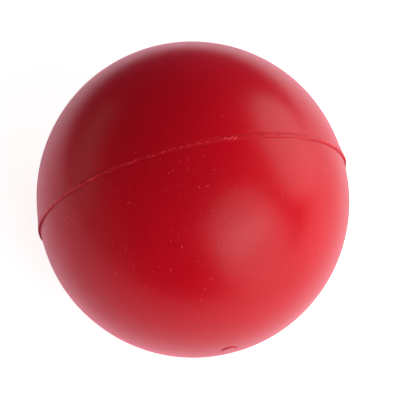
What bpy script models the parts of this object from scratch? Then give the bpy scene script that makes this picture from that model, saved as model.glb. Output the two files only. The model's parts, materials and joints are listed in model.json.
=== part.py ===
"""Hollow rubber pet ball.

Two moulded half shells are bonded rim to rim, and a flanged plug closes the filling
hole at the pole of one of them. Metres, +Z up, origin at the centre of the ball. The
mould axis lies along Y, with the plugged pole at the front (-Y) and the seam in the
XZ plane.
"""

import math

import bpy

# Shells
BALL_DIAMETER = 0.065
WALL = 0.006

# Bond between the rims, with its bead outside and inside
BOND_THICKNESS = 0.0006
BEAD_RISE = 0.00045
INNER_BEAD_RISE = 0.0006

# Filling hole, and the boss round it on the inside
HOLE_DIAMETER = 0.0038
HOLE_CHAMFER = 0.00015
BOSS_STEP = 0.0006
BOSS_MARGIN = 0.0015

# Plug, whose flat end stands a little proud of the ball
PLUG_RISE = 0.0002
PLUG_EDGE_ROUND = 0.0002
FLANGE_LIP = 0.0026
FLANGE_THICKNESS = 0.0015
FLANGE_EDGE_ROUND = 0.0004

# Air between neighbouring pieces
FIT_GAP = 0.00025

# Facets
TURN_STEPS = 64
PLUG_TURN_STEPS = 32
OUTER_ARC_STEPS = 16
INNER_ARC_STEPS = 12
BEAD_ARC_STEPS = 6
EDGE_ARC_STEPS = 3
SMOOTH_ANGLE = math.radians(30)
MERGE_DISTANCE = FIT_GAP / 10

# Finishes, as linear colours
SHELL_RED = (0.46, 0.004, 0.013, 1.0)
BOND_RED = (0.30, 0.003, 0.010, 1.0)
PLUG_RED = (0.42, 0.005, 0.013, 1.0)
RUBBER_ROUGHNESS = 0.45

# Radii about the mould axis, and distances from a half shell's rim plane
OUTER_RADIUS = BALL_DIAMETER / 2
INNER_RADIUS = OUTER_RADIUS - WALL
RIM_OFFSET = BOND_THICKNESS / 2 + FIT_GAP
HOLE_RADIUS = HOLE_DIAMETER / 2
STEM_RADIUS = HOLE_RADIUS - FIT_GAP
FLANGE_RADIUS = HOLE_RADIUS + FLANGE_LIP
BOSS_RADIUS = FLANGE_RADIUS + BOSS_MARGIN
MOUTH_RADIUS = HOLE_RADIUS + HOLE_CHAMFER
MOUTH_DEPTH = math.sqrt(OUTER_RADIUS**2 - MOUTH_RADIUS**2)
BOSS_ROOT_DEPTH = math.sqrt(INNER_RADIUS**2 - BOSS_RADIUS**2)
BOSS_FACE_DEPTH = BOSS_ROOT_DEPTH - BOSS_STEP
PLUG_FACE_DEPTH = MOUTH_DEPTH + PLUG_RISE
STEM_LENGTH = PLUG_FACE_DEPTH - BOSS_FACE_DEPTH + FIT_GAP

POLE = 0.0
RIM = math.pi / 2
FAR_POLE = math.pi


def arc(centre, width, height, start, end, steps):
    """Points (x, z) of an ellipse, from one angle to another, counted from +Z towards +X."""
    angles = [start + (end - start) * step / steps for step in range(steps + 1)]
    return [(centre[0] + width * math.sin(a), centre[1] + height * math.cos(a)) for a in angles]


def sphere_arc(radius, start, end, steps):
    return arc((0.0, 0.0), radius, radius, start, end, steps)


def plain_half_profile():
    """Down the outside from the pole to the rim, and back up the inside."""
    outside = sphere_arc(OUTER_RADIUS, POLE, RIM, OUTER_ARC_STEPS)
    inside = sphere_arc(INNER_RADIUS, RIM, POLE, INNER_ARC_STEPS)
    return outside + inside


def plugged_half_profile():
    """Down the outside from the rim to the hole, through it, over the boss and up the inside."""
    mouth_angle = FAR_POLE - math.asin(MOUTH_RADIUS / OUTER_RADIUS)
    boss_angle = FAR_POLE - math.asin(BOSS_RADIUS / INNER_RADIUS)
    outside = sphere_arc(OUTER_RADIUS, RIM, mouth_angle, OUTER_ARC_STEPS)
    hole = [
        (HOLE_RADIUS, HOLE_CHAMFER - MOUTH_DEPTH),
        (HOLE_RADIUS, -BOSS_FACE_DEPTH),
    ]
    boss = [(BOSS_RADIUS, -BOSS_FACE_DEPTH)]
    inside = sphere_arc(INNER_RADIUS, boss_angle, RIM, INNER_ARC_STEPS)
    return outside + hole + boss + inside


def bond_ring_profile():
    """A web as deep as the wall, with a rounded bead past it outside and inside."""
    half = BOND_THICKNESS / 2
    bead = arc((OUTER_RADIUS, 0.0), BEAD_RISE, half, POLE, FAR_POLE, BEAD_ARC_STEPS)
    inner_bead = arc((INNER_RADIUS, 0.0), -INNER_BEAD_RISE, half, FAR_POLE, POLE, BEAD_ARC_STEPS)
    return bead + inner_bead


def plug_profile():
    """From the flange's inner side down to the flat end of the stem, which is at z = 0."""
    flange_top = STEM_LENGTH + FLANGE_THICKNESS
    flange_corner = (FLANGE_RADIUS - FLANGE_EDGE_ROUND, flange_top - FLANGE_EDGE_ROUND)
    stem_corner = (STEM_RADIUS - PLUG_EDGE_ROUND, PLUG_EDGE_ROUND)
    flange_edge = arc(flange_corner, FLANGE_EDGE_ROUND, FLANGE_EDGE_ROUND, POLE, RIM, EDGE_ARC_STEPS)
    stem_edge = arc(stem_corner, PLUG_EDGE_ROUND, PLUG_EDGE_ROUND, RIM, FAR_POLE, EDGE_ARC_STEPS)
    seat = [(FLANGE_RADIUS, STEM_LENGTH), (STEM_RADIUS, STEM_LENGTH)]
    return [(0.0, flange_top)] + flange_edge + seat + stem_edge + [(0.0, 0.0)]


def rubber(name, colour):
    material = bpy.data.materials.new(name)
    material.use_nodes = True
    shader = material.node_tree.nodes["Principled BSDF"]
    shader.inputs["Base Color"].default_value = colour
    shader.inputs["Roughness"].default_value = RUBBER_ROUGHNESS
    shader.inputs["Metallic"].default_value = 0.0
    return material


def turned_piece(name, profile, closed, steps, height, material):
    """Turn a profile about the mould axis, at a height along it, and shade it."""
    outline = bpy.data.meshes.new(name + "_profile")
    edges = [(i, i + 1) for i in range(len(profile) - 1)]
    if closed:
        edges.append((len(profile) - 1, 0))
    outline.from_pydata([(x, 0.0, z) for x, z in profile], edges, [])

    piece = bpy.data.objects.new(name, outline)
    parts.objects.link(piece)
    piece.parent = mould_axis
    piece.location.z = height

    turn = piece.modifiers.new("turn", "SCREW")
    turn.steps = steps
    turn.render_steps = steps
    turn.use_merge_vertices = True
    turn.merge_threshold = MERGE_DISTANCE

    depsgraph = bpy.context.evaluated_depsgraph_get()
    solid = bpy.data.meshes.new_from_object(piece.evaluated_get(depsgraph))
    solid.name = name
    solid.shade_smooth()
    solid.set_sharp_from_angle(angle=SMOOTH_ANGLE)
    solid.materials.append(material)
    piece.modifiers.clear()
    piece.data = solid
    bpy.data.meshes.remove(outline)


for old in list(bpy.data.objects):
    bpy.data.objects.remove(old)

parts = bpy.data.collections.new("pet_ball")
bpy.context.scene.collection.children.link(parts)

# The mould axis: its +Z points along the world's +Y
mould_axis = bpy.data.objects.new("mould_axis", None)
mould_axis.rotation_euler.x = -math.pi / 2
parts.objects.link(mould_axis)

turned_piece(
    "plain_half_shell",
    plain_half_profile(),
    closed=False,
    steps=TURN_STEPS,
    height=RIM_OFFSET,
    material=rubber("plain_half_rubber", SHELL_RED),
)
turned_piece(
    "plugged_half_shell",
    plugged_half_profile(),
    closed=True,
    steps=TURN_STEPS,
    height=-RIM_OFFSET,
    material=rubber("plugged_half_rubber", SHELL_RED),
)
turned_piece(
    "seam_bond_ring",
    bond_ring_profile(),
    closed=True,
    steps=TURN_STEPS,
    height=0.0,
    material=rubber("seam_bond", BOND_RED),
)
turned_piece(
    "pole_plug",
    plug_profile(),
    closed=False,
    steps=PLUG_TURN_STEPS,
    height=-RIM_OFFSET - PLUG_FACE_DEPTH,
    material=rubber("plug_rubber", PLUG_RED),
)
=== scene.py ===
"""Red rubber pet ball, dressed.

Each CAD node is replaced by a finer mesh of the same piece: two half shells with rounded
rims, the uneven bead of rubber squeezed out of their seam, and the plug at one pole.
Metres, +Z up, the mould axis along Y, as in the CAD. An angle round the seam is counted
from +Z towards +X.
"""

import json
import math

import bpy
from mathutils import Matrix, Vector, noise


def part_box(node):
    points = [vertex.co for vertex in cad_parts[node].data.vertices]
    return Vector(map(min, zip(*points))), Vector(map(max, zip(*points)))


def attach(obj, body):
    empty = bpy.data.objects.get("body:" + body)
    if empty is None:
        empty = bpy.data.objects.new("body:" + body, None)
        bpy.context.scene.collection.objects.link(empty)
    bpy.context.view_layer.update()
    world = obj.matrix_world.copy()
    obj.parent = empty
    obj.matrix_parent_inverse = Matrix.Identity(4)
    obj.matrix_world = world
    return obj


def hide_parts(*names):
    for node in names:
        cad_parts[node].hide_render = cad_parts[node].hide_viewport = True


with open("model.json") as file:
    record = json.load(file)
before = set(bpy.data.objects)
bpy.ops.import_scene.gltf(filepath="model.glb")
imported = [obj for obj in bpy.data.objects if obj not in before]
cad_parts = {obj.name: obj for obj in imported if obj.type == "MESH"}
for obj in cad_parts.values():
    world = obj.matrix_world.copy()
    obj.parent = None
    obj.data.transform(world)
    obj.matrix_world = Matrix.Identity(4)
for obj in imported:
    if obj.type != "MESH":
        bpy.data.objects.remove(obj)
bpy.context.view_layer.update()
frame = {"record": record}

# Sizes and finishes from the frame
plain_low, plain_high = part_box("plain_half_shell")
bond_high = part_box("seam_bond_ring")[1]
plug_low, plug_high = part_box("pole_plug")
RADIUS = plain_high.x
RIM_PLANE = plain_low.y
BEAD_RISE = bond_high.x - RADIUS
PLUG_FACE = -plug_low.y - RIM_PLANE
PLUG_BACK = -plug_high.y - RIM_PLANE
FLANGE_RADIUS = plug_high.x
FLOOR_LEVEL = frame["record"]["mounts"][0]["pos_m"][2]

# Sides of the seam plane
PLAIN_SIDE = 1
PLUGGED_SIDE = -1

# Inside of the ball, as in the CAD
WALL = 0.006
INNER_RADIUS = RADIUS - WALL
BOSS_RADIUS = 0.006
BOSS_STEP = 0.0006
FLANGE_THICKNESS = 0.0015
FLANGE_ROUND = 0.0004
INNER_BEAD_RISE = 0.0006

# Hole, drawn in to the plug, and the plug's outer end, which is cut askew
HOLE_RADIUS = 0.00168
MOUTH_ROUND = 0.00012
PLUG_CREASE = 0.00006
PLUG_ROUND = 0.0003
PLUG_CROWN = 0.00005
PLUG_SKEW = 0.045
ASKEW_LENGTH = 2 * PLUG_ROUND

# Outside of the shells, with rims that reach past the CAD's rim planes
RIM_ROUND = 0.0001
RIM_REACH = 0.00007
SWELL = 0.00003
SWELL_LENGTH = 0.011
FLARE_RISE = 0.00034
FLARE_LENGTH = 0.0015

# Bead of rubber along the seam, which runs into the flared rim between two places across it
BEAD_HALF_WIDTH = 0.00049
BEAD_ROOT = 0.0002
BOND_CLEARANCE = 0.00002
CROWN_POWER = 2.6
MERGE_PLACE = (0.0002, 0.0006)
WIDTH_UNEVENNESS = 0.06
RISE_UNEVENNESS = 0.2
FLASH_WANDER = 0.00006
LONG_WAVE = 0.006
SHORT_WAVE = 0.0009

# Places of the long and the short wave in the noise, apart so that no two waves are alike
UPPER_WAVES = (0.0, 3.0)
LOWER_WAVES = (2.0, 5.0)
BAND_WAVES = (7.0, 8.0)
FLASH_WAVES = (9.0, 10.0)
WANDER_WAVE = 11.0

# Shape of the bead at the top of the ball, where it is a low ridge on the -X side and a band
# with a crease above it on the +X side, and further round, where it is full and its flash
# leans over the plugged half. Rises are over the ball, creases are the depths of the two
# edges, and the flash fades by its spreads on both sides of its place.
RIDGE_BEAD = {
    "band_rise": 0.00003,
    "flash_rise": 0.00005,
    "flash_unevenness": 0.6,
    "flash_place": 0.00006,
    "upper_spread": 0.00022,
    "lower_spread": 0.0002,
    "added_width": 0.0,
    "upper_crease": 0.00003,
    "lower_crease": 0.00002,
}
BAND_BEAD = {
    "band_rise": 0.0001,
    "flash_rise": 0.00003,
    "flash_unevenness": 0.8,
    "flash_place": 0.0,
    "upper_spread": 0.00012,
    "lower_spread": 0.00012,
    "added_width": 0.0,
    "upper_crease": 0.00005,
    "lower_crease": 0.00002,
}
FULL_BEAD = {
    "band_rise": 0.0,
    "flash_rise": BEAD_RISE,
    "flash_unevenness": 0.1,
    "flash_place": -0.00037,
    "upper_spread": 0.0019,
    "lower_spread": 0.00006,
    "added_width": 0.0002,
    "upper_crease": 0.00006,
    "lower_crease": 0.00007,
}

# Angles between which the look at the top changes to the full bead, and the ridge to the band
TOP_REACH = (math.radians(36), math.radians(90))
RIDGE_REACH = (math.radians(8), math.radians(28))

# Specks of torn rubber on the bead: angle in degrees, place across the bead, rise and length
# along the seam
BURRS = (
    (-48.0, -0.0002, 0.00012, 0.0006),
    (-44.0, 0.0001, 0.00012, 0.0010),
    (-38.5, 0.0000, 0.00022, 0.0005),
    (-36.0, 0.0001, 0.00015, 0.0004),
    (-22.0, -0.0001, 0.00015, 0.0005),
    (-15.5, -0.0001, 0.00020, 0.0004),
    (-14.2, -0.0002, 0.00016, 0.0003),
    (-10.5, 0.0000, 0.00018, 0.0003),
    (11.3, 0.0003, 0.00022, 0.00025),
    (12.4, 0.0000, 0.00020, 0.0003),
    (13.6, 0.0002, 0.00024, 0.00025),
    (14.6, -0.0001, 0.00018, 0.0003),
    (26.0, -0.0001, 0.00015, 0.0003),
    (32.0, 0.0000, 0.00016, 0.0003),
    (124.0, 0.0001, 0.00014, 0.0004),
    (171.0, -0.0001, 0.00013, 0.0005),
    (212.0, 0.0002, 0.00015, 0.0004),
    (259.0, 0.0000, 0.00012, 0.0006),
)
BURR_WIDTH = 0.00016

# Mesh counts
SHELL_TURNS = 256
BEAD_TURNS = 1440
PLUG_TURNS = 96
OUTER_ROWS = 88
INNER_ROWS = 24
EDGE_ROWS = 6
CROWN_ROWS = 40
INNER_CROWN_ROWS = 6
SMOOTH_ANGLE = math.radians(40)
AXIS_TOLERANCE = 1e-9

# Linear colours
RED = (0.65, 0.0006, 0.0110, 1.0)
DEEP_RED = (0.62, 0.0005, 0.0100, 1.0)
SEAM_RED = (0.60, 0.0006, 0.0105, 1.0)
SCUFFED_RED = (0.85, 0.02, 0.035, 1.0)
# Painted shade: the darker red put in the crease below the full bead, in place of its shadow
CREASE_SHADE_RED = (0.47, 0.0005, 0.0088, 1.0)
PLUG_RED = (0.64, 0.004, 0.016, 1.0)
LINT_PINK = (0.97, 0.12, 0.17, 1.0)
BLOOM_RED = (1.0, 0.1, 0.28, 1.0)
# Painted bounce light: pink glow of the floor's -X side, seen only in the ball's reflections
PAINTED_BOUNCE_PINK = (1.15, 0.6, 0.8, 1.0)
WHITE = (1.0, 1.0, 1.0, 1.0)

# Finish of the rubber
MOTTLE_SIZE = 0.012
MOTTLE_DETAIL = 4.0
MOTTLE_RANGE = (0.3, 0.7)
SMUDGE_SIZE = 0.004
SMUDGE_DETAIL = 5.0
SMUDGE_RANGE = (0.25, 0.75)
GRAIN_SIZE = 0.0004
GRAIN_DETAIL = 2.0
GRAIN_DEPTH = 0.000003
ROUGHNESS = 0.3
ROUGHNESS_SPREAD = 0.02
SPECULAR_LEVEL = 0.26
BLOOM_WEIGHT = 0.7
BLOOM_ROUGHNESS = 0.34

# Finish of the seam: scuffs on the ridge and on the tips of the burrs, and painted shade: a darker
# colour in the crease below the full bead, standing in for its shadow
SEAM_ROUGHNESS = 0.36
SEAM_PLANE = (1.0, 0.0, 1.0)
SCUFF_SIZE = 0.0007
SCUFF_DETAIL = 3.0
SCUFF_RANGE = (0.4, 0.6)
BURR_TIPS = (0.00016, 0.00024)
CREASE_ROUGHNESS = 0.7
CREASE_TOP = -0.00032
CREASE_FOOT = -0.00038
CREASE_REACH = (math.radians(40), math.radians(52))

# Lint: the spacing of the bits, half the length of the shortest and the longest, half their
# width, the bend of a long one, and the greatest share of the bits that are there
FIBRES = {
    "spacing": 0.0015,
    "shortest": 0.0001,
    "longest": 0.00042,
    "half_width": 0.000065,
    "bend": 1200.0,
    "share": 0.8,
}
CRUMBS = {
    "spacing": 0.0011,
    "shortest": 0.00006,
    "longest": 0.00014,
    "half_width": 0.00008,
    "bend": 0.0,
    "share": 0.4,
}

# Each bit of lint: the numbers that turn it at random, its solid core and its taper as shares,
# how near the surface its cell point lies as a share of the spacing, and how strongly it shows
LINT_SPIN = (37.0, 41.0, 43.0)
LINT_MIDDLE = (0.5, 0.5, 0.5)
LINT_CORE = 0.5
LINT_TAPER = 0.7
LINT_DEPTH = 0.25
LINT_STRENGTH = (0.15, 0.85)

# Where the lint lies: in patches, thickest round one direction, and none below the middle
PATCH_SIZE = 0.009
PATCH_DETAIL = 2.0
PATCH_RANGE = (0.3, 0.7)
PATCH_LEAST = 0.3
LINT_DIRECTION = (-0.34, -0.45, 0.82)
LINT_REACH = (0.8, 0.97)
LINT_THINNED = 0.35
LINT_LEVEL = (0.0, 0.65)

# Sockets of a mix node for colours
MIX_FACTOR = 0
MIX_FIRST = 6
MIX_SECOND = 7
MIX_RESULT = 2

# Camera, placed so that the ball fills the photograph's frame as it does there
FRAME_PIXELS = 400
FRAME_MIDDLE = 0.5
BALL_CENTRE_PIXEL = (192.9, 199.5)
BALL_RADIUS_PIXELS = 155.85
VIEW_AZIMUTH = -12.90
VIEW_ELEVATION = 71.12
VIEW_DISTANCE = 11.0 * RADIUS
SENSOR_WIDTH = 36.0

# Light: each lamp's azimuth and elevation in degrees, its width and height, and the level
# that it gives on a white surface facing it
LAMP_DISTANCE = 0.5
LAMPS = {
    "key_light": (35.0, 43.0, (0.455, 0.375), 0.32),
    "front_light": (33.0, 21.0, (0.48, 0.45), 0.455),
    "side_light": (104.0, 14.5, (0.55, 0.36), 0.54),
    "left_light": (236.0, 9.0, (0.575, 0.195), 0.05),
}
FILL_LIGHT = (270.0, 8.0, (0.9, 0.2), 0.16)
AMBIENT_LEVEL = 0.165

# Floor, whose mirror image on the ball turns from a painted pink, standing in for the red light that
# the ball throws back, to white between two places along X
FLOOR_SIZE = 8.0
FLOOR_BACK = 0.11
FLOOR_WHITE = 0.9
FLOOR_GLOW = 0.71
PAINTED_BOUNCE_REACH = (-0.12, 0.06)


def arc(centre, radius, start, end, steps):
    """Points (r, y) of a circle, between two angles from the mould axis."""
    angles = [start + (end - start) * step / steps for step in range(steps + 1)]
    return [(centre[0] + radius * math.sin(a), centre[1] + radius * math.cos(a)) for a in angles]


def outer_rim_angle():
    """Where the ball's outside runs into the rounded edge of a rim."""
    return math.acos((RIM_ROUND - RIM_REACH) / (RADIUS - RIM_ROUND))


def rim_edge():
    """Rounded edge from the outside of a shell to its rim."""
    start = outer_rim_angle()
    centre = ((RADIUS - RIM_ROUND) * math.sin(start), RIM_ROUND - RIM_REACH)
    return arc(centre, RIM_ROUND, start, math.pi, EDGE_ROWS)


def plain_half_profile():
    """From the pole down the outside, round the rim and up the inside."""
    outside = arc((0.0, 0.0), RADIUS, 0.0, outer_rim_angle(), OUTER_ROWS)
    inside = arc((0.0, 0.0), INNER_RADIUS, math.pi / 2, 0.0, INNER_ROWS)
    return outside[:-1] + rim_edge() + inside


def plugged_half_profile():
    """From the hole's mouth down the outside, round the rim, up the inside and over the boss."""
    mouth_radius = HOLE_RADIUS + MOUTH_ROUND
    mouth_angle = math.asin(mouth_radius / (RADIUS - MOUTH_ROUND))
    mouth_centre = (mouth_radius, (RADIUS - MOUTH_ROUND) * math.cos(mouth_angle))
    boss_angle = math.asin(BOSS_RADIUS / INNER_RADIUS)
    boss_face = INNER_RADIUS * math.cos(boss_angle) - BOSS_STEP
    mouth = arc(mouth_centre, MOUTH_ROUND, -math.pi / 2, mouth_angle, EDGE_ROWS)
    outside = arc((0.0, 0.0), RADIUS, mouth_angle, outer_rim_angle(), OUTER_ROWS)
    inside = arc((0.0, 0.0), INNER_RADIUS, math.pi / 2, boss_angle, INNER_ROWS)
    boss = [(BOSS_RADIUS, boss_face), (HOLE_RADIUS, boss_face)]
    return mouth + outside[1:-1] + rim_edge() + inside + boss


def plug_profile():
    """From the flange's inner side down the stem to its slightly crowned end."""
    stem_radius = HOLE_RADIUS - PLUG_CREASE
    seat = PLUG_BACK + FLANGE_THICKNESS
    edge = PLUG_FACE - PLUG_CROWN - PLUG_ROUND
    flange_centre = (FLANGE_RADIUS - FLANGE_ROUND, PLUG_BACK + FLANGE_ROUND)
    stem_centre = (stem_radius - PLUG_ROUND, edge)
    flange = arc(flange_centre, FLANGE_ROUND, math.pi, math.pi / 2, EDGE_ROWS)
    stem = [(FLANGE_RADIUS, seat), (stem_radius, seat)]
    end = arc(stem_centre, PLUG_ROUND, math.pi / 2, 0.0, EDGE_ROWS)
    crown = [(stem_centre[0] / 2, PLUG_FACE - PLUG_CROWN / 4), (0.0, PLUG_FACE)]
    return [(0.0, PLUG_BACK)] + flange + stem + end + crown


def round_axis(radius, level, angle):
    """The point at a distance from the mould axis, a level along it and an angle round it."""
    return Vector((radius * math.sin(angle), level, radius * math.cos(angle)))


def turned_rings(profile, turns, side):
    """Rings of points round the mould axis, on one side of the seam plane."""
    rings = []
    for radius, height in profile:
        count = 1 if radius < AXIS_TOLERANCE else turns
        angles = [math.tau * step / turns for step in range(count)]
        level = side * (RIM_PLANE + height)
        rings.append([round_axis(radius, level, angle) for angle in angles])
    return rings


def smooth_step(value, low, high):
    share = min(max((value - low) / (high - low), 0.0), 1.0)
    return share * share * (3 - 2 * share)


def fullness(angle):
    """How far the seam is from its look at the top of the ball to its look further round."""
    return smooth_step(abs(math.remainder(angle, math.tau)), *TOP_REACH)


def flare(angle, height):
    """How far the plain half stands out near its rim, at a height above the rim plane."""
    return FLARE_RISE * fullness(angle) * math.exp(-max(height, 0.0) / FLARE_LENGTH)


def swell(rings, side):
    """Move the outside of a shell in and out a little, as moulded rubber does when it cools.

    The plain half also flares at its rim, towards the bead.
    """
    centre = Vector((0.0, side * RIM_PLANE, 0.0))
    for ring in rings:
        for point in ring:
            spoke = point - centre
            if spoke.length > RADIUS - RIM_ROUND:
                rise = SWELL * noise.noise(point / SWELL_LENGTH)
                if side == PLAIN_SIDE:
                    rise += flare(math.atan2(point.x, point.z), spoke.y)
                point += spoke.normalized() * rise


def cut_askew(rings):
    """Slope the outer end of the plug, which stands highest on its -X, +Z side."""
    for ring in rings:
        for point in ring:
            depth = PLUG_FACE + RIM_PLANE + point.y
            if depth < ASKEW_LENGTH:
                point.y -= PLUG_SKEW * (point.z - point.x) / math.sqrt(2)


def wave(angle, length, place):
    """Noise along the seam that varies about once in a length. Each place has its own."""
    return noise.noise(round_axis(1.0, place, angle) * RADIUS / length)


def unevenness(angle, places):
    """A long and a short wave added together."""
    return wave(angle, LONG_WAVE, places[0]) + wave(angle, SHORT_WAVE, places[1])


def burr_rise(angle, across):
    """Height that the torn specks add to the bead at one point."""
    rise = 0.0
    for degrees, place, height, length in BURRS:
        turn = math.remainder(angle - math.radians(degrees), math.tau)
        spread = (turn * RADIUS / length) ** 2 + ((across - place) / BURR_WIDTH) ** 2
        rise += height * math.exp(-spread)
    return rise


def blended(first, second, share):
    return {name: value + (second[name] - value) * share for name, value in first.items()}


def bead_shape(angle):
    """Shape of the bead at one angle, between its looks at the top and further round."""
    to_band = smooth_step(math.remainder(angle, math.tau), *RIDGE_REACH)
    top = blended(RIDGE_BEAD, BAND_BEAD, to_band)
    return blended(top, FULL_BEAD, fullness(angle))


def bead_crown(angle):
    """Outside (r, y) of the bead at one angle, from its +Y edge to its -Y edge."""
    shape = bead_shape(angle)
    share_full = fullness(angle)
    upper_width = BEAD_HALF_WIDTH * (1 + WIDTH_UNEVENNESS * unevenness(angle, UPPER_WAVES))
    upper_width += shape["added_width"]
    lower_width = BEAD_HALF_WIDTH * (1 + WIDTH_UNEVENNESS * unevenness(angle, LOWER_WAVES))
    band_rise = shape["band_rise"] * (1 + RISE_UNEVENNESS * unevenness(angle, BAND_WAVES))
    flash_share = 1 + shape["flash_unevenness"] * unevenness(angle, FLASH_WAVES)
    flash_rise = shape["flash_rise"] * max(0.0, flash_share)
    flash_place = shape["flash_place"] + FLASH_WANDER * wave(angle, LONG_WAVE, WANDER_WAVE)
    crown = []
    for step in range(CROWN_ROWS + 1):
        part = math.cos(math.pi * step / CROWN_ROWS)
        across = part * (upper_width if part > 0 else lower_width)
        edge = shape["upper_crease" if part > 0 else "lower_crease"]
        spread = shape["upper_spread" if across > flash_place else "lower_spread"]
        band = (1 - abs(part) ** CROWN_POWER) ** (1 / CROWN_POWER)
        height = (band_rise + edge) * band - edge
        height += flash_rise * math.exp(-(((across - flash_place) / spread) ** 2))
        height += burr_rise(angle, across)
        merged = share_full * smooth_step(across, *MERGE_PLACE)
        height += merged * (flare(angle, across - RIM_PLANE) + BOND_CLEARANCE - height)
        crown.append((RADIUS + height, across))
    return crown


def bead_section(angle):
    """Cross-section (r, y) of the seam bond at one angle: the bead, the web and the inner bead."""
    web = RIM_PLANE - RIM_REACH - BOND_CLEARANCE
    root = RADIUS - BEAD_ROOT
    inner_bead = []
    for step in range(INNER_CROWN_ROWS + 1):
        turn = math.pi * step / INNER_CROWN_ROWS
        inner_bead.append((INNER_RADIUS - INNER_BEAD_RISE * math.sin(turn), -web * math.cos(turn)))
    return bead_crown(angle) + [(root, -web)] + inner_bead + [(root, web)]


def bead_rings():
    """Rings of points along the seam, one for each point of the cross-section."""
    angles = [math.tau * step / BEAD_TURNS for step in range(BEAD_TURNS)]
    sections = [bead_section(angle) for angle in angles]
    rings = []
    for row in zip(*sections):
        rings.append([round_axis(r, y, angle) for angle, (r, y) in zip(angles, row)])
    return rings


def skinned_mesh(name, rings, closed):
    """Join neighbouring rings with faces; a ring of one point is a pole."""
    turns = max(len(ring) for ring in rings)
    starts = []
    points = []
    for ring in rings:
        starts.append(len(points))
        points.extend(ring)
    faces = []
    bands = len(rings) if closed else len(rings) - 1
    for band in range(bands):
        after = (band + 1) % len(rings)
        for turn in range(turns):
            turned = (turn + 1) % turns
            corners = [
                starts[band] + turn % len(rings[band]),
                starts[band] + turned % len(rings[band]),
                starts[after] + turned % len(rings[after]),
                starts[after] + turn % len(rings[after]),
            ]
            faces.append(list(dict.fromkeys(corners)))
    mesh = bpy.data.meshes.new(name)
    mesh.from_pydata(points, [], faces)
    mesh.validate()
    return mesh


def face_outwards(mesh):
    """Turn a closed mesh inside out if its faces point in."""
    volume = 0.0
    for face in mesh.polygons:
        volume += face.center.dot(face.normal) * face.area
    if volume < 0:
        mesh.flip_normals()


def add_piece(name, rings, closed, node, material):
    """A piece that stands for one CAD node, which it hides, with the finish that it is given."""
    mesh = skinned_mesh(name, rings, closed)
    face_outwards(mesh)
    mesh.shade_smooth()
    mesh.set_sharp_from_angle(angle=SMOOTH_ANGLE)
    mesh.materials.append(material)
    piece = bpy.data.objects.new(name, mesh)
    bpy.context.scene.collection.objects.link(piece)
    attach(piece, "root")
    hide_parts(node)


def add_node(tree, kind, inputs=None, **settings):
    """Add a shader node. An input that is a socket is linked, and any other value is set."""
    made = tree.nodes.new("ShaderNode" + kind)
    for name, value in settings.items():
        setattr(made, name, value)
    for key, value in (inputs or {}).items():
        if isinstance(value, bpy.types.NodeSocket):
            tree.links.new(value, made.inputs[key])
        else:
            made.inputs[key].default_value = value
    return made


def math_node(tree, operation, first, second=0.0):
    return add_node(tree, "Math", {0: first, 1: second}, operation=operation).outputs[0]


def vector_node(tree, operation, first, second=(0.0, 0.0, 0.0), output="Vector"):
    return add_node(tree, "VectorMath", {0: first, 1: second}, operation=operation).outputs[output]


def axis_value(tree, vector, axis):
    return add_node(tree, "SeparateXYZ", {"Vector": vector}).outputs[axis]


def ramp(tree, value, low, high, out_low=0.0, out_high=1.0):
    """A smooth step between two values."""
    inputs = {"Value": value, "From Min": low, "From Max": high, "To Min": out_low, "To Max": out_high}
    return add_node(tree, "MapRange", inputs, interpolation_type="SMOOTHSTEP").outputs[0]


def noise_value(tree, coordinates, size, detail):
    inputs = {"Vector": coordinates, "Scale": 1 / size, "Detail": detail}
    return add_node(tree, "TexNoise", inputs).outputs["Fac"]


def mix_colour(tree, factor, first, second):
    inputs = {MIX_FACTOR: factor, MIX_FIRST: first, MIX_SECOND: second}
    return add_node(tree, "Mix", inputs, data_type="RGBA").outputs[MIX_RESULT]


def lint_outline(tree, along, across, length, half_width, bend):
    """Outline of a bit of lint, bowed along its length and soft at its edges."""
    bow = math_node(tree, "MULTIPLY", math_node(tree, "MULTIPLY", along, along), bend)
    aside = math_node(tree, "ABSOLUTE", math_node(tree, "SUBTRACT", across, bow))
    along = math_node(tree, "DIVIDE", math_node(tree, "ABSOLUTE", along), length)
    middle = ramp(tree, aside, half_width, half_width * LINT_CORE)
    return math_node(tree, "MULTIPLY", middle, ramp(tree, along, 1.0, LINT_TAPER))


def lint_share(tree, coordinates, outward, share):
    """Share of the bits of lint that are there at each place on the ball."""
    blotch = noise_value(tree, coordinates, PATCH_SIZE, PATCH_DETAIL)
    patch = ramp(tree, blotch, *PATCH_RANGE, PATCH_LEAST, 1.0)
    upward = axis_value(tree, outward, "Z")
    settled = vector_node(tree, "DOT_PRODUCT", outward, LINT_DIRECTION, "Value")
    there = math_node(tree, "MULTIPLY", patch, ramp(tree, settled, *LINT_REACH, LINT_THINNED, 1.0))
    return math_node(tree, "MULTIPLY", there, ramp(tree, upward, *LINT_LEVEL, 0.0, share))


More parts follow.
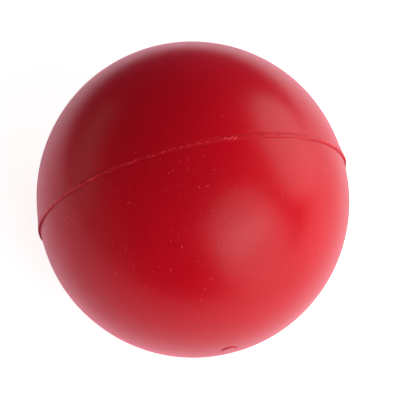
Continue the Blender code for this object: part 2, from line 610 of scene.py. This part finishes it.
def lint(tree, coordinates, spacing, shortest, longest, half_width, bend, share):
    """Bits of lint lying on the ball, one for each cell point that is close to the surface."""
    inputs = {"Vector": coordinates, "Scale": 1 / spacing}
    cells = add_node(tree, "TexVoronoi", inputs, feature="F1").outputs
    chance = add_node(tree, "SeparateColor", {"Color": cells["Color"]}).outputs
    offset = vector_node(tree, "SUBTRACT", coordinates, cells["Position"])
    outward = vector_node(tree, "NORMALIZE", coordinates)
    spun = vector_node(tree, "FRACTION", vector_node(tree, "MULTIPLY", cells["Color"], LINT_SPIN))
    turn = vector_node(tree, "SUBTRACT", spun, LINT_MIDDLE)
    direction = vector_node(tree, "NORMALIZE", vector_node(tree, "CROSS_PRODUCT", outward, turn))
    sideways = vector_node(tree, "CROSS_PRODUCT", outward, direction)
    along = vector_node(tree, "DOT_PRODUCT", offset, direction, "Value")
    across = vector_node(tree, "DOT_PRODUCT", offset, sideways, "Value")
    depth = vector_node(tree, "DOT_PRODUCT", offset, outward, "Value")

    length = ramp(tree, chance["Red"], 0.0, 1.0, shortest, longest)
    outline = lint_outline(tree, along, across, length, half_width, bend)
    there = lint_share(tree, coordinates, outward, share)
    kept = math_node(tree, "LESS_THAN", chance["Green"], there)
    near = math_node(tree, "LESS_THAN", math_node(tree, "ABSOLUTE", depth), LINT_DEPTH * spacing)
    shown = math_node(tree, "MULTIPLY", math_node(tree, "MULTIPLY", kept, near), outline)
    strength = ramp(tree, chance["Blue"], 0.0, 1.0, *LINT_STRENGTH)
    return math_node(tree, "MULTIPLY", shown, strength)


def on_top(tree, coordinates, reach):
    """The part of the seam at the top of the ball, which fades out between two angles from +Z."""
    level = axis_value(tree, coordinates, "Z")
    return ramp(tree, level, RADIUS * math.cos(reach[1]), RADIUS * math.cos(reach[0]))


def scuffs(tree, coordinates):
    """Paler rubber at the top: the high parts of the ridge, broken up, and the burrs' tips."""
    flat = vector_node(tree, "MULTIPLY", coordinates, SEAM_PLANE)
    distance = vector_node(tree, "LENGTH", flat, output="Value")
    foot = RADIUS + RIDGE_BEAD["band_rise"]
    high = ramp(tree, distance, foot, foot + RIDGE_BEAD["flash_rise"])
    place = axis_value(tree, coordinates, "X")
    on_ridge = ramp(tree, place, RADIUS * math.sin(RIDGE_REACH[1]), RADIUS * math.sin(RIDGE_REACH[0]))
    broken = ramp(tree, noise_value(tree, coordinates, SCUFF_SIZE, SCUFF_DETAIL), *SCUFF_RANGE)
    worn = math_node(tree, "MULTIPLY", math_node(tree, "MULTIPLY", high, broken), on_ridge)
    tips = ramp(tree, distance, RADIUS + BURR_TIPS[0], RADIUS + BURR_TIPS[1])
    top = on_top(tree, coordinates, TOP_REACH)
    return math_node(tree, "MULTIPLY", math_node(tree, "MAXIMUM", worn, tips), top)


def crease(tree, coordinates):
    """Painted shade: a darker colour in the crease below the full bead, standing in for its shadow."""
    below = ramp(tree, axis_value(tree, coordinates, "Y"), CREASE_TOP, CREASE_FOOT)
    top = on_top(tree, coordinates, CREASE_REACH)
    return math_node(tree, "MULTIPLY", below, math_node(tree, "SUBTRACT", 1.0, top))


def rubber(name, red, deep_red, roughness, is_seam=False):
    """Satin red rubber with a pink bloom, faint mottling, smudges, fine grain and lint."""
    material = bpy.data.materials.new(name)
    material.use_nodes = True
    tree = material.node_tree
    shader = tree.nodes["Principled BSDF"]
    shader.inputs["Specular IOR Level"].default_value = SPECULAR_LEVEL
    shader.inputs["Sheen Weight"].default_value = BLOOM_WEIGHT
    shader.inputs["Sheen Roughness"].default_value = BLOOM_ROUGHNESS
    shader.inputs["Sheen Tint"].default_value = BLOOM_RED
    coordinates = add_node(tree, "TexCoord").outputs["Object"]

    mottle = noise_value(tree, coordinates, MOTTLE_SIZE, MOTTLE_DETAIL)
    colour = mix_colour(tree, ramp(tree, mottle, *MOTTLE_RANGE), deep_red, red)
    smudge = noise_value(tree, coordinates, SMUDGE_SIZE, SMUDGE_DETAIL)
    smoothest = roughness - ROUGHNESS_SPREAD
    roughest = roughness + ROUGHNESS_SPREAD
    rough = ramp(tree, smudge, *SMUDGE_RANGE, smoothest, roughest)
    # On the seam: paler scuffs, and painted shade that darkens the crease below the full bead
    if is_seam:
        crease_shade = crease(tree, coordinates)
        colour = mix_colour(tree, scuffs(tree, coordinates), colour, SCUFFED_RED)
        colour = mix_colour(tree, crease_shade, colour, CREASE_SHADE_RED)
        rough = ramp(tree, crease_shade, 0.0, 1.0, rough, CREASE_ROUGHNESS)
    fibres = lint(tree, coordinates, **FIBRES)
    crumbs = lint(tree, coordinates, **CRUMBS)
    colour = mix_colour(tree, math_node(tree, "MAXIMUM", fibres, crumbs), colour, LINT_PINK)
    grain = noise_value(tree, coordinates, GRAIN_SIZE, GRAIN_DETAIL)
    bump = add_node(tree, "Bump", {"Strength": 1.0, "Distance": GRAIN_DEPTH, "Height": grain})

    tree.links.new(colour, shader.inputs["Base Color"])
    tree.links.new(rough, shader.inputs["Roughness"])
    tree.links.new(bump.outputs["Normal"], shader.inputs["Normal"])
    return material


def add_pieces():
    """The four pieces of the ball, each with its finish."""
    shell_red = rubber("shell_red_rubber", RED, DEEP_RED, ROUGHNESS)
    seam_red = rubber("seam_red_rubber", RED, SEAM_RED, SEAM_ROUGHNESS, is_seam=True)
    plug_red = rubber("plug_red_rubber", PLUG_RED, DEEP_RED, ROUGHNESS)

    plain = turned_rings(plain_half_profile(), SHELL_TURNS, PLAIN_SIDE)
    swell(plain, PLAIN_SIDE)
    add_piece("plain_half_skin", plain, False, "plain_half_shell", shell_red)

    plugged = turned_rings(plugged_half_profile(), SHELL_TURNS, PLUGGED_SIDE)
    swell(plugged, PLUGGED_SIDE)
    add_piece("plugged_half_skin", plugged, True, "plugged_half_shell", shell_red)

    add_piece("seam_bead", bead_rings(), True, "seam_bond_ring", seam_red)

    plug = turned_rings(plug_profile(), PLUG_TURNS, PLUGGED_SIDE)
    cut_askew(plug)
    add_piece("filling_plug", plug, False, "pole_plug", plug_red)


def floor_white():
    """White to the camera and in reflections, with the shadows that fall on it.

    In reflections its -X side glows pink: a painted reflection of the red light that the ball throws
    back on it.
    """
    material = bpy.data.materials.new("floor_white")
    material.use_nodes = True
    tree = material.node_tree
    tree.nodes.remove(tree.nodes["Principled BSDF"])
    path = add_node(tree, "LightPath").outputs
    seen = math_node(tree, "MAXIMUM", path["Is Camera Ray"], path["Is Glossy Ray"])
    seen = math_node(tree, "MAXIMUM", seen, path["Is Transmission Ray"])
    glow = math_node(tree, "MULTIPLY", seen, FLOOR_GLOW)
    # Painted bounce light: the glow seen in reflections is tinted pink on the -X side
    place = axis_value(tree, add_node(tree, "TexCoord").outputs["Object"], "X")
    painted_bounce = mix_colour(tree, ramp(tree, place, *PAINTED_BOUNCE_REACH), PAINTED_BOUNCE_PINK, WHITE)
    tint = mix_colour(tree, path["Is Glossy Ray"], WHITE, painted_bounce)
    paint = (FLOOR_WHITE, FLOOR_WHITE, FLOOR_WHITE, 1.0)
    diffuse = add_node(tree, "BsdfDiffuse", {"Color": paint}).outputs[0]
    emission = add_node(tree, "Emission", {"Color": tint, "Strength": glow}).outputs[0]
    both = add_node(tree, "AddShader", {0: diffuse, 1: emission}).outputs[0]
    tree.links.new(both, tree.nodes["Material Output"].inputs["Surface"])
    return material


def add_floor(name, front, back, material):
    """A plain stretch of floor between two places along Y."""
    half = FLOOR_SIZE / 2
    corners = [(-half, front), (half, front), (half, back), (-half, back)]
    mesh = bpy.data.meshes.new(name)
    mesh.from_pydata([(x, y, FLOOR_LEVEL) for x, y in corners], [], [(0, 1, 2, 3)])
    mesh.materials.append(material)
    floor = bpy.data.objects.new(name, mesh)
    bpy.context.scene.collection.objects.link(floor)
    return floor


def add_floors():
    """The floor round the ball, and the floor behind, which the ball does not mirror."""
    material = floor_white()
    add_floor("floor", -FLOOR_SIZE / 2, FLOOR_BACK, material)
    behind = add_floor("floor_behind", FLOOR_BACK, FLOOR_SIZE / 2, material)
    behind.visible_glossy = False


def view_direction(azimuth, elevation):
    """Direction from the ball: azimuth 0 is the front, -Y, and 90 is +X. In degrees."""
    turn = math.radians(azimuth)
    lift = math.radians(elevation)
    flat = math.cos(lift)
    return Vector((math.sin(turn) * flat, -math.cos(turn) * flat, math.sin(lift)))


def aim(holder, direction, distance):
    """Put a lamp or a camera in the scene, at a distance from the ball and facing it."""
    holder.location = direction * distance
    holder.rotation_mode = "QUATERNION"
    holder.rotation_quaternion = direction.to_track_quat("Z", "Y")
    bpy.context.scene.collection.objects.link(holder)


def add_lamp(name, azimuth, elevation, size, level):
    """A soft oval lamp facing the ball. The level is what a white surface facing it would show."""
    lamp = bpy.data.lights.new(name, "AREA")
    lamp.shape = "ELLIPSE"
    lamp.size = size[0]
    lamp.size_y = size[1]
    lamp.energy = level * (math.pi * LAMP_DISTANCE) ** 2
    holder = bpy.data.objects.new(name, lamp)
    holder.visible_camera = False
    aim(holder, view_direction(azimuth, elevation), LAMP_DISTANCE)
    return holder


def add_light():
    """Lamps that the ball mirrors, and a fill and an ambient light that it does not."""
    for name, lamp in LAMPS.items():
        add_lamp(name, *lamp)
    fill = add_lamp("fill_light", *FILL_LIGHT)
    fill.visible_glossy = False
    world = bpy.data.worlds.new("studio")
    bpy.context.scene.world = world
    world.use_nodes = True
    background = world.node_tree.nodes["Background"]
    background.inputs["Color"].default_value = WHITE
    background.inputs["Strength"].default_value = AMBIENT_LEVEL
    world.cycles_visibility.glossy = False


def add_camera():
    """Look at the ball from the photograph's side, with the ball where it is in that frame."""
    focal_pixels = BALL_RADIUS_PIXELS * math.sqrt((VIEW_DISTANCE / RADIUS) ** 2 - 1)
    lens = bpy.data.cameras.new("camera")
    lens.sensor_fit = "HORIZONTAL"
    lens.sensor_width = SENSOR_WIDTH
    lens.lens = SENSOR_WIDTH * focal_pixels / FRAME_PIXELS
    lens.shift_x = FRAME_MIDDLE - BALL_CENTRE_PIXEL[0] / FRAME_PIXELS
    lens.shift_y = BALL_CENTRE_PIXEL[1] / FRAME_PIXELS - FRAME_MIDDLE
    lens.clip_start = RADIUS
    camera = bpy.data.objects.new("camera", lens)
    aim(camera, view_direction(VIEW_AZIMUTH, VIEW_ELEVATION), VIEW_DISTANCE)
    bpy.context.scene.camera = camera


add_pieces()
add_floors()
add_light()
add_camera()
bpy.context.scene.view_settings.view_transform = "Standard"
